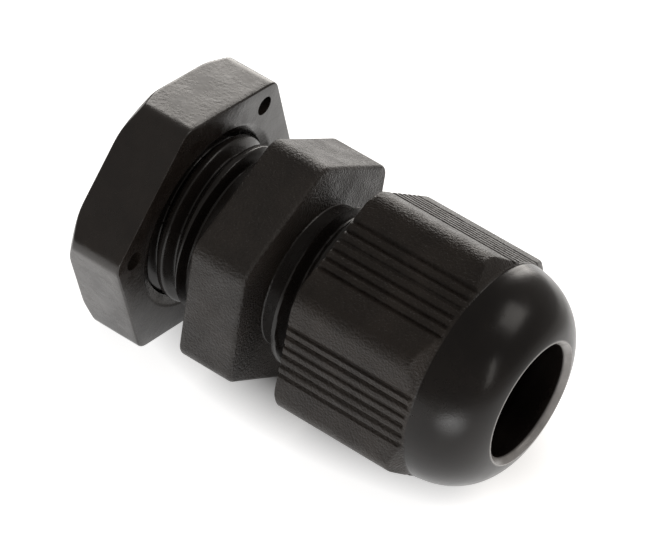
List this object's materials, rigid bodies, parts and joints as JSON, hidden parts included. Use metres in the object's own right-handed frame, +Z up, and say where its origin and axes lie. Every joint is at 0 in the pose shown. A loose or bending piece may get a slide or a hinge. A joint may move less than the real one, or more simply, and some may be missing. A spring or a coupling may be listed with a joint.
{
  "type": "cable gland",
  "caption": "Black plastic M12 cable gland with a hexagonal lock nut, a threaded hexagonal body, clamping fingers, a rubber seal and a ribbed dome nut.",
  "frame": {"origin": "centre of the bounding box: on the gland's axis, midway between the threaded end and the tip of the dome", "axes": "+X along the axis from the lock nut to the dome, +Z up with a flat of the lock nut facing down, +Y across"},
  "size_m": [0.0308, 0.0198, 0.0178],
  "materials": {
    "gloss_nylon": "black moulded nylon, semi-gloss",
    "matt_nylon": "black moulded nylon, fine spark-eroded texture",
    "satin_nylon": "black moulded nylon, satin",
    "seal_rubber": "black neoprene, matt"
  },
  "bodies": {
    "body": {"gland_body": "matt_nylon", "seal_insert": "seal_rubber"},
    "finger_1": {"clamp_finger_1": "matt_nylon"},
    "finger_2": {"clamp_finger_2": "matt_nylon"},
    "finger_3": {"clamp_finger_3": "matt_nylon"},
    "finger_4": {"clamp_finger_4": "matt_nylon"},
    "finger_5": {"clamp_finger_5": "matt_nylon"},
    "finger_6": {"clamp_finger_6": "matt_nylon"},
    "finger_7": {"clamp_finger_7": "matt_nylon"},
    "finger_8": {"clamp_finger_8": "matt_nylon"},
    "lock_nut_carrier": {"lock_nut_rim": "gloss_nylon"},
    "lock_nut": {"lock_nut": "gloss_nylon"},
    "dome_nut_carrier": {"dome_nut_cone": "satin_nylon"},
    "dome_nut": {"dome_nut": "satin_nylon"}
  },
  "joints": [
    {"name": "lock_nut_travel", "type": "slide", "parent": "body", "child": "lock_nut_carrier", "axis": [1, 0, 0], "range_m": [-0.0045, 0.00225]},
    {"name": "lock_nut_turn", "type": "hinge", "parent": "lock_nut_carrier", "child": "lock_nut", "pos_m": [-0.0131, 0, 0], "axis": [1, 0, 0], "range_deg": [-1080, 540]},
    {"name": "dome_nut_travel", "type": "slide", "parent": "body", "child": "dome_nut_carrier", "axis": [-1, 0, 0], "range_m": [0, 0.00225], "deforming": ["seal_insert"]},
    {"name": "dome_nut_turn", "type": "hinge", "parent": "dome_nut_carrier", "child": "dome_nut", "pos_m": [0.0081, 0, 0], "axis": [-1, 0, 0], "range_deg": [0, 540]},
    {"name": "finger_1_flex", "type": "hinge", "parent": "body", "child": "finger_1", "pos_m": [0.00745, 0.00455, 0], "axis": [0, 0, -1], "range_deg": [0, 12]},
    {"name": "finger_2_flex", "type": "hinge", "parent": "body", "child": "finger_2", "pos_m": [0.00745, 0.00322, 0.00322], "axis": [0, 0.7071, -0.7071], "range_deg": [0, 12]},
    {"name": "finger_3_flex", "type": "hinge", "parent": "body", "child": "finger_3", "pos_m": [0.00745, 0, 0.00455], "axis": [0, 1, 0], "range_deg": [0, 12]},
    {"name": "finger_4_flex", "type": "hinge", "parent": "body", "child": "finger_4", "pos_m": [0.00745, -0.00322, 0.00322], "axis": [0, 0.7071, 0.7071], "range_deg": [0, 12]},
    {"name": "finger_5_flex", "type": "hinge", "parent": "body", "child": "finger_5", "pos_m": [0.00745, -0.00455, 0], "axis": [0, 0, 1], "range_deg": [0, 12]},
    {"name": "finger_6_flex", "type": "hinge", "parent": "body", "child": "finger_6", "pos_m": [0.00745, -0.00322, -0.00322], "axis": [0, -0.7071, 0.7071], "range_deg": [0, 12]},
    {"name": "finger_7_flex", "type": "hinge", "parent": "body", "child": "finger_7", "pos_m": [0.00745, 0, -0.00455], "axis": [0, -1, 0], "range_deg": [0, 12]},
    {"name": "finger_8_flex", "type": "hinge", "parent": "body", "child": "finger_8", "pos_m": [0.00745, 0.00322, -0.00322], "axis": [0, -0.7071, -0.7071], "range_deg": [0, 12]}
  ],
  "couplings": [
    {"joint": "lock_nut_turn", "follows": "lock_nut_travel", "rad_per_m": 4188.8},
    {"joint": "dome_nut_turn", "follows": "dome_nut_travel", "rad_per_m": 4188.8},
    {"joint": "finger_1_flex", "follows": "dome_nut_travel", "rad_per_m": 93.084},
    {"joint": "finger_2_flex", "follows": "dome_nut_travel", "rad_per_m": 93.084},
    {"joint": "finger_3_flex", "follows": "dome_nut_travel", "rad_per_m": 93.084},
    {"joint": "finger_4_flex", "follows": "dome_nut_travel", "rad_per_m": 93.084},
    {"joint": "finger_5_flex", "follows": "dome_nut_travel", "rad_per_m": 93.084},
    {"joint": "finger_6_flex", "follows": "dome_nut_travel", "rad_per_m": 93.084},
    {"joint": "finger_7_flex", "follows": "dome_nut_travel", "rad_per_m": 93.084},
    {"joint": "finger_8_flex", "follows": "dome_nut_travel", "rad_per_m": 93.084}
  ]
}
